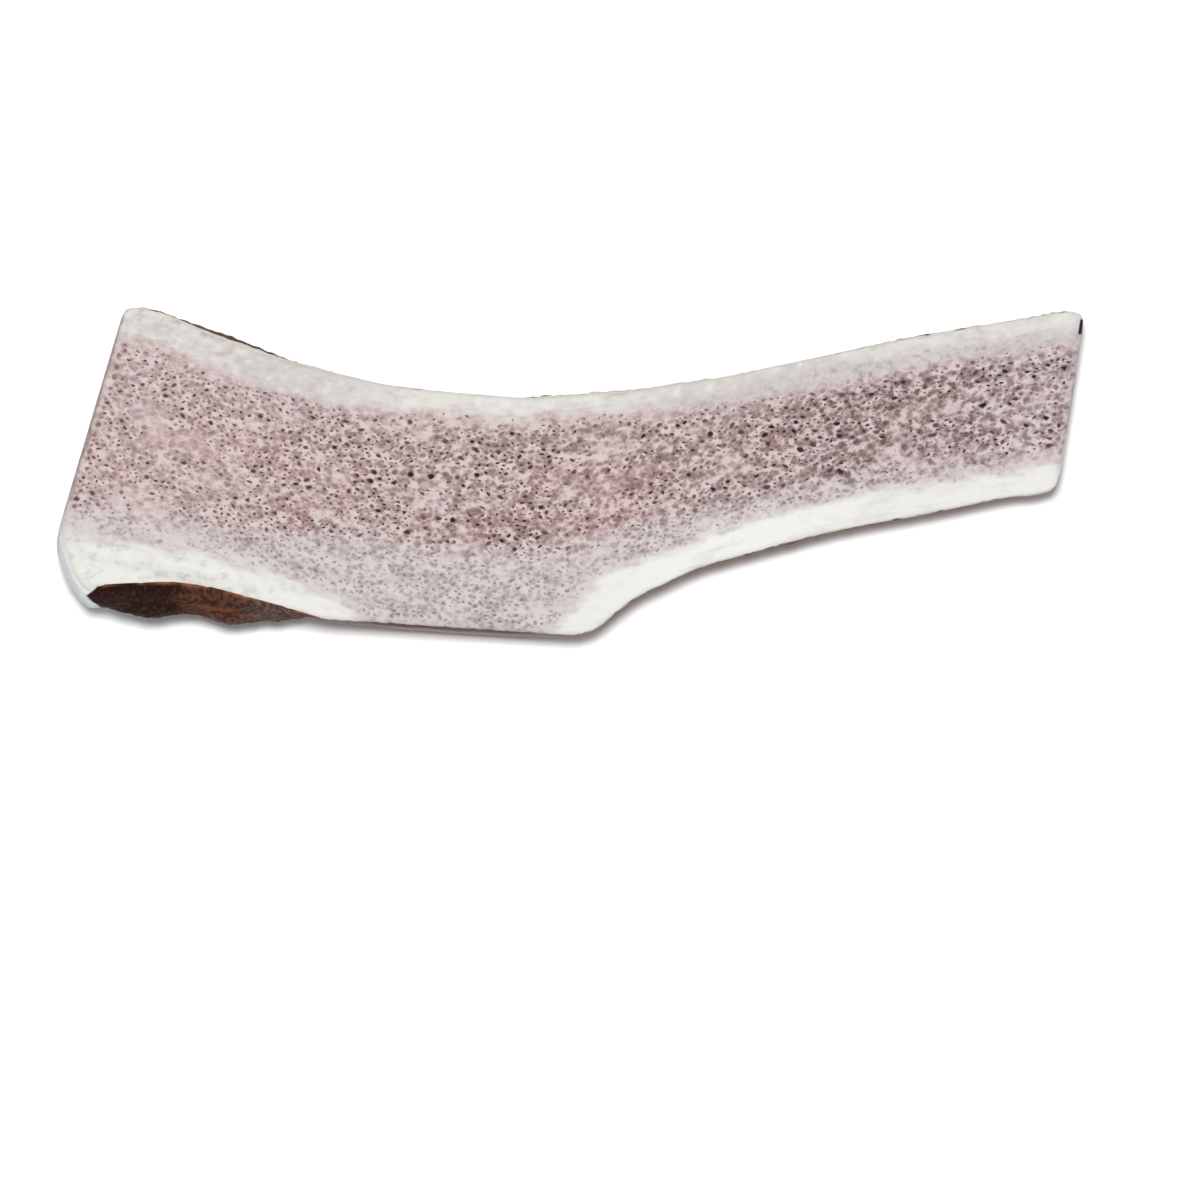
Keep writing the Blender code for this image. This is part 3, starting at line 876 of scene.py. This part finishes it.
class Nodes:
    """Builds the nodes of one material."""

    def __init__(self, name):
        self.material = bpy.data.materials.new(name)
        self.material.use_nodes = True
        self.tree = self.material.node_tree
        self.shader = self.tree.nodes["Principled BSDF"]

    def fill(self, socket, value):
        if isinstance(value, bpy.types.NodeSocket):
            self.tree.links.new(value, socket)
        else:
            socket.default_value = value

    def add(self, kind, values=(), **settings):
        node = self.tree.nodes.new(kind)
        for name, setting in settings.items():
            setattr(node, name, setting)
        for name, value in dict(values).items():
            self.fill(node.inputs[name], value)
        return node

    def attribute(self, name, output="Fac"):
        return self.add("ShaderNodeAttribute", attribute_name=name).outputs[output]

    def part(self, vector, axis):
        return self.add("ShaderNodeSeparateXYZ", {0: vector}).outputs[axis]

    def math(self, operation, *values):
        return self.add("ShaderNodeMath", dict(enumerate(values)), operation=operation).outputs[0]

    def times(self, first, *others):
        for value in others:
            first = self.math("MULTIPLY", first, value)
        return first

    def total(self, first, *others):
        """The sum of a value and of others, each given with what it is multiplied by."""
        for value, scale in others:
            first = self.math("MULTIPLY_ADD", value, scale, first)
        return first

    def ramp(self, value, low, high, start=0, end=1):
        """start where the value is at low, end where it is at high, and a smooth change between."""
        values = {0: value, 1: low, 2: high, 3: start, 4: end}
        return self.add("ShaderNodeMapRange", values, interpolation_type="SMOOTHSTEP").outputs[0]

    def band(self, value, rise, fall):
        """A ramp up and a ramp down of one value, multiplied."""
        return self.times(self.ramp(value, *rise), self.ramp(value, *fall))

    def sized(self, vector, size, seed):
        """A vector in millimetres, divided by the sizes along the beam, across it and, if given, down."""
        along, across = size[:2]
        values = {0: vector, 1: (1 / along, 1 / across, 1 / size[-1]), 2: (seed, seed * 1.7, seed * 0.6)}
        return self.add("ShaderNodeVectorMath", values, operation="MULTIPLY_ADD").outputs[0]

    def noise(self, vector, size, seed, detail=2):
        """Noise around 0, mostly between -0.25 and 0.25, with patches of a size."""
        values = {"Vector": self.sized(vector, size, seed), "Scale": 1, "Detail": detail}
        found = self.add("ShaderNodeTexNoise", values).outputs["Fac"]
        return self.math("SUBTRACT", found, 0.5)

    def cells(self, vector, size, seed, bend):
        """Distances from the middles of bent, scattered cells of a size, and a number of each one's own."""
        sized = self.sized(vector, size, seed)
        bent = self.add("ShaderNodeTexNoise", {"Vector": sized, "Scale": 0.8, "Detail": 1}).outputs["Color"]
        values = {0: bent, 1: (bend, bend, bend), 2: sized}
        bent = self.add("ShaderNodeVectorMath", values, operation="MULTIPLY_ADD").outputs[0]
        node = self.add("ShaderNodeTexVoronoi", {"Vector": bent, "Scale": 1})
        return node.outputs["Distance"], self.part(node.outputs["Color"], 0)

    def mix(self, share, *colors):
        """A blend of two colours, each of them three numbers for paint or another blend."""
        first, second = (paint(*color) if isinstance(color, tuple) else color for color in colors)
        return self.add("ShaderNodeMix", {0: share, 6: first, 7: second}, data_type="RGBA").outputs[2]

    def layers(self, color, *others):
        """A colour with others laid over it in turn, each given after the share that it covers."""
        for share, other in others:
            color = self.mix(share, color, other)
        return color

    def finish(self, color, heights, roughness, relief, strength, specular):
        """Gives the shader its colour, its gloss, and bumps by heights that relief scales in mm."""
        values = {"Height": heights, "Distance": relief * MM, "Strength": strength}
        bumps = self.add("ShaderNodeBump", values).outputs["Normal"]
        for name, value in (("Base Color", color), ("Normal", bumps), ("Roughness", roughness)):
            self.fill(self.shader.inputs[name], value)
        self.shader.inputs["Specular IOR Level"].default_value = specular
        return self.material


def sawn_material():
    """The cut antler: a hard pale wall round a mauve-grey core full of dark pores."""
    n = Nodes("sawn_antler")
    place, grain = n.attribute("place", "Vector"), n.attribute("grain", "Vector")
    x, y, drop = (n.part(place, axis) for axis in range(3))
    side = n.part(grain, 1)
    openness = n.attribute("open")
    upper = n.ramp(side, -2, 4)
    by_base = n.ramp(x, -34, -64)
    core = n.total(n.attribute("core"), (n.noise(grain, (4, 1.6), 1, 4), 4.5))
    tinted = n.times(upper, n.ramp(x, 2, 36))
    stained = n.ramp(n.total(core, (tinted, 2.4), (by_base, 0.6)), -1.4, 1.2)

    # The wall: whiter below the core than above it, with soft streaks and clouds along the beam
    clouds = n.noise(grain, (9, 3), 7, 3)
    speckle = n.noise(place, (2, 1.4), 9, 4)
    from_base = n.ramp(x, 2, 22)
    wall_below = n.mix(n.ramp(x, 28, 55), n.mix(from_base, *WALL_BELOW[:2]), WALL_BELOW[2])
    wall_above = n.mix(n.ramp(x, 38, 62), n.mix(from_base, *WALL_ABOVE[:2]), WALL_ABOVE[2])
    wall_above = n.mix(n.band(x, (-70, -56), (-28, -42, 0, 0.8)), wall_above, WALL_GREY)
    streaks = n.total(n.noise(grain, (16, 1.7), 3), (clouds, 0.9), (by_base, 0.1))
    dull = n.ramp(streaks, -0.02, 0.36, 0, 0.7)
    flecks = n.total(0.12, (by_base, 0.35), (upper, 0.25), (dull, 0.2))
    wall = n.layers(
        n.mix(upper, wall_below, wall_above),
        (n.times(dull, n.ramp(upper, 0, 1, 0.5)), WALL_DULL),
        (n.ramp(clouds, -0.08, -0.25, 0, 0.3), WALL_CREAM),
        (n.times(n.ramp(speckle, -0.02, 0.25), flecks), WALL_FLECKS),
        (n.times(n.ramp(speckle, -0.02, -0.22), n.total(0.1, (upper, 0.4))), WALL_GLINTS),
    )

    # The core's own tone, with redder patches along its middle
    middle = n.ramp(n.math("ABSOLUTE", n.math("ADD", side, 1.5)), 11, 3)
    blood = n.ramp(n.noise(grain, (13, 6), 11), -0.12, 0.2, 0, 0.75)
    rusty = n.ramp(n.noise(grain, (11, 4.5), 33), -0.04, 0.14)
    rust = n.ramp(n.noise(place, (1.7, 1.3), 13), -0.02, 0.2, 0, 0.7)
    cloudy = n.ramp(clouds, -0.2, 0.2)
    pale = n.attribute("pale")
    inner = n.layers(
        n.mix(cloudy, *CORE_TONES),
        (n.times(middle, blood), CORE_BLOOD),
        (n.times(rust, rusty, middle), CORE_RUST),
        (n.ramp(x, 8, 44, 0, 0.65), CORE_PAST_TINE),
        (n.ramp(x, 62, 84, 0, 0.6), CORE_BY_TIP),
        (pale, n.mix(cloudy, *CORE_PALE_TONES)),
        (n.times(n.ramp(n.attribute("core"), 0.8, -0.6), tinted), CORE_RIM),
    )

    # Its mottling: shallow openings between pale bars
    rows = n.noise(grain, (12, 1.8), 21)
    bars = n.noise(place, (1.9, 1.5), 15, 1)
    grit = n.noise(place, (1.2, 1), 19, 1)
    from_middle, own = n.cells(grain, (1.1, 0.85), 27, 1.6)
    mottle = n.total(-0.36, (from_middle, 0.55), (own, 0.22), (bars, 0.45), (grit, 0.5), (rows, 0.3))
    pale_bars = n.times(n.ramp(mottle, 0.02, 0.28, 0, 0.75), n.ramp(core, -1.5, 1, 0.4))
    color = n.mix(stained, wall, n.mix(pale_bars, inner, CORE_BARS))
    dark = n.attribute("dark")
    dark_part = n.band(x, (36, 48), (76, 66))
    openings = n.ramp(n.total(mottle, (openness, -0.06), (dark, -0.2)), 0.04, -0.42)
    openings = n.times(openings, n.total(0.38, (openness, 0.36), (dark_part, 0.14)), stained)
    color = n.mix(openings, color, n.mix(dark_part, *CORE_OPENINGS))

    # The pores that are sunk into the face: a dark stain, with painted shade that makes each darker the
    # deeper it is
    pit = n.attribute("pit")
    uneven = n.noise(place, (0.5, 0.45), 31, 1)
    depth = n.total(n.times(dark, n.ramp(pit, 0, 0.7, 0.6)), (uneven, 0.2))
    pore_stain_and_shade = n.mix(n.ramp(depth, 0.2, 0.5), *PORE_STAINS_AND_SHADE[:2])
    pore_stain_and_shade = n.mix(n.ramp(depth, 0.5, 0.85), pore_stain_and_shade, PORE_STAINS_AND_SHADE[2])
    sunk = n.ramp(n.total(pit, (uneven, 0.5)), 0.06, 0.42)
    color = n.mix(n.times(sunk, n.ramp(pale, 0, 1, 1, 0.6)), color, pore_stain_and_shade)

    # Painted shade darkens the tine cut and marks a slit in the tip end's corner; a darker line runs along
    # the base end's edge
    tine = n.attribute("tine")
    blotches = n.noise(grain, (4, 3, 2.5), 51, 3)
    below = n.total(drop, (blotches, 4))
    redder_tine_shade = n.times(n.ramp(n.total(x, (blotches, 12)), -19.5, -27.5, 0, 0.85), n.ramp(drop, -6, -2))
    # Darker along the base end's edge by the split face, more towards the upper side
    edge_dark = n.times(n.attribute("base"), n.band(drop, (-1.8, -0.9, 0, 0.45), (-0.1, -0.35)))
    to_tip = np.array(SECTIONS[-1][:2]) - SECTIONS[-1][2:4]
    to_tip /= norm(to_tip)
    square = n.total(n.math("MULTIPLY", x, float(to_tip[1])), (y, float(-to_tip[0])))
    # Painted shade: black for a slit at the tip end's corner, on the cuts next to the split face
    slit_shade = n.times(n.band(y, SLIT_LOW, SLIT_HIGH), n.ramp(square, *SLIT_ALONG), n.ramp(drop, -1.4, -0.7))
    color = n.layers(
        color,
        # Painted shade on the tine cut, darkest by the split face, then a redder painted shade by the face on
        # the base end's side
        (n.times(tine, n.ramp(below, -15, -1.5, 0.7, 0.97)), n.mix(n.ramp(below, -8, -1), *TINE_PAINTED_SHADES)),
        (n.times(tine, redder_tine_shade), TINE_PAINTED_SHADE_RED),
        (n.times(edge_dark, n.ramp(n.total(y, (blotches, 40)), -16, 8)), BASE_EDGE_DARK),
        (slit_shade, SLIT_PAINTED_SHADE),
    )
    heights = n.total(n.noise(place, (1.3, 0.9), 41, 3), (openings, -1.2))
    roughness = n.ramp(core, -1, 2, 0.55, 0.8)
    return n.finish(color, heights, roughness, relief=0.12, strength=0.6, specular=0.3)


def bark_material():
    """The bark: brown, with pale worn ridges, dark grooves, and fine streaks and pebbles."""
    n = Nodes("bark")
    bark, place = n.attribute("bark", "Vector"), n.attribute("place", "Vector")
    along, around = n.part(bark, 0), n.part(bark, 1)
    rise, rim = n.attribute("rise"), n.attribute("rim")
    streaks = n.noise(bark, (9, 0.7), 1, 4)
    broad = n.noise(bark, (34, 5), 4, 3)
    pebbles = n.noise(bark, (0.7, 0.5), 8, 3)
    worn = n.total(rise, (streaks, 2.6), (broad, 1.4), (pebbles, 1))
    color = n.layers(
        n.mix(n.ramp(n.total(broad, (streaks, 0.8)), -0.3, 0.3), *BARK_TONES),
        (n.ramp(worn, 0.3, 1.4, 0, 0.8), BARK_WORN),
        (n.ramp(worn, -0.3, -1.3, 0, 0.9), BARK_GROOVES),
        (n.ramp(pebbles, 0.04, 0.22, 0, 0.5), BARK_PEBBLES[0]),
        (n.ramp(pebbles, -0.05, -0.22, 0, 0.6), BARK_PEBBLES[1]),
    )

    # Painted shade on the lower side by the base end: grey-brown, then brown, and nearly black before the end
    blotches = n.noise(bark, (5, 3), 17, 3)
    reach = n.total(along, (blotches, 7))
    low_side = n.ramp(n.total(around, (blotches, 14), (broad, 12)), 32, 16)
    by_edge = n.ramp(n.total(around, (blotches, 10)), 24, 10)
    speckled = n.ramp(pebbles, -0.12, 0.12)
    brown = n.mix(n.ramp(streaks, 0.04, 0.14, 0, 0.6), n.mix(speckled, *BARK_SHADE_BROWNS[:2]), BARK_SHADE_BROWNS[2])
    # Near-black: painted shade on the lower side, and dark bark along the upper edge by the base end
    dark = n.mix(n.ramp(pebbles, 0.02, 0.2), *BARK_DARK_AND_SHADE)
    upper_dark = n.band(reach, (11, 17), (62, 54, 0, 0.9))
    upper_dark = n.times(upper_dark, n.ramp(n.total(around, (streaks, 14)), 61, 67))
    color = n.layers(
        color,
        (n.times(by_edge, n.ramp(reach, 50, 40, 0, 0.9)), n.mix(speckled, *BARK_SHADE_GREYS)),
        (n.times(low_side, n.ramp(reach, 36, 30, 0, 0.95)), brown),
        (n.times(low_side, n.ramp(reach, 23.5, 20, 0, 0.95)), dark),
        (upper_dark, n.mix(n.ramp(streaks, 0, 0.2, 0, 0.55), dark, BARK_RED)),
    )

    # Sanding has taken the bark off at the base end's lower corner, and to a pale skin along the cuts
    point_x, point_y = SANDED_POINT
    beside = n.math("MINIMUM", n.math("ABSOLUTE", n.math("SUBTRACT", n.part(place, 1), point_y)), 2.5)
    corner = n.total(n.part(place, 0), (beside, -1.1), (blotches, 1.5))
    sanded = n.times(n.ramp(corner, point_x + 0.3, point_x - 0.3), n.ramp(around, 26, 15))
    warm_edge = n.times(n.ramp(rim, 0.7, 0.2, 0, 0.7), n.ramp(reach, 50, 44))
    warm_edge = n.times(warm_edge, n.ramp(blotches, -0.12, 0.12), low_side)
    plain_top = n.times(n.band(reach, (54, 68), (150, 126)), n.ramp(around, 52, 62))
    skin = n.total(rim, (streaks, 1.2), (blotches, 1.5), (plain_top, -1.8), (upper_dark, -1.5))
    barky = n.times(low_side, n.ramp(along, 96, 88))
    skin = n.times(n.ramp(skin, 0.9, 0.45), n.math("MAXIMUM", n.math("SUBTRACT", 1, barky), sanded))
    clean = n.math("MAXIMUM", n.math("MAXIMUM", plain_top, upper_dark), sanded)
    dashes = n.ramp(n.noise(bark, (2.4, 1.4), 23, 3), 0.03, 0.14, 0, 0.85)
    dashes = n.times(dashes, n.math("SUBTRACT", 1, clean))
    color = n.layers(
        color,
        (warm_edge, BARK_EDGE),
        (sanded, SANDED_WHITE),
        (skin, n.mix(dashes, *SKIN_TONES)),
    )
    heights = n.total(streaks, (pebbles, 0.9), (n.noise(bark, (0.25, 0.2), 12), 0.3))
    roughness = n.ramp(worn, -0.8, 1, 0.8, 0.55)
    return n.finish(color, heights, roughness, relief=0.35, strength=0.8, specular=0.12)


def make_floor():
    n = Nodes("floor")
    n.shader.inputs["Base Color"].default_value = FLOOR_COLOR
    n.shader.inputs["Roughness"].default_value = FLOOR_ROUGHNESS
    mesh = bpy.data.meshes.new("floor")
    corners = [(x * FLOOR_REACH, y * FLOOR_REACH, 0) for x, y in ((-1, -1), (1, -1), (1, 1), (-1, 1))]
    mesh.from_pydata(corners, [], [(0, 1, 2, 3)])
    mesh.materials.append(n.material)
    floor = new_object("floor", mesh)
    floor.location.z = -FLOOR_DROP
    return floor


def light_studio():
    """A soft key light from nearly overhead, and an even pale surround that fills the shadows."""
    world = bpy.data.worlds.new("studio")
    world.use_nodes = True
    background = world.node_tree.nodes["Background"]
    background.inputs["Color"].default_value = FILL_COLOR
    background.inputs["Strength"].default_value = FILL_STRENGTH
    bpy.context.scene.world = world
    light = bpy.data.lights.new("key", "AREA")
    light.size = KEY_SIZE
    light.energy = KEY_POWER
    lamp = new_object("key", light)
    lamp.location = KEY_PLACE
    lamp.rotation_euler = (-Vector(KEY_PLACE)).to_track_quat("-Z", "Y").to_euler()


def add_camera(frame):
    """Looks straight down on the split face from the photograph's place."""
    camera = bpy.data.cameras.new("camera")
    camera.sensor_width = SENSOR_WIDTH
    camera.lens = SENSOR_WIDTH * CAMERA_DISTANCE / (PHOTO_PIXELS * PIXEL_MM)
    camera.clip_end = SIGHT_REACH
    x = (PHOTO_PIXELS / 2 - FACE_ORIGIN_PIXEL[0]) * PIXEL_MM
    y = (FACE_ORIGIN_PIXEL[1] - PHOTO_PIXELS / 2) * PIXEL_MM
    view = new_object("camera", camera)
    view.matrix_world = placement(frame) @ Matrix.Translation(Vector((x, y, CAMERA_DISTANCE)) * MM)
    bpy.context.scene.camera = view


with open("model.json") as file:
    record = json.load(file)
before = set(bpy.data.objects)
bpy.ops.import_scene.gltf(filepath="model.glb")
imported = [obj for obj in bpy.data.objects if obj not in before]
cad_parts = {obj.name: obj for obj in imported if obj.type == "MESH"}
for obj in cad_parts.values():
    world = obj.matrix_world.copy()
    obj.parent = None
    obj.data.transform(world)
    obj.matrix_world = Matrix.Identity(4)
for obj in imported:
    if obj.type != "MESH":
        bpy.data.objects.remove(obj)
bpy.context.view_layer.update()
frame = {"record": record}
antler = make_chew(frame)
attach(antler, "root")
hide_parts("antler_slice")
make_floor()
light_studio()
add_camera(frame)
bpy.context.scene.view_settings.view_transform = "Standard"
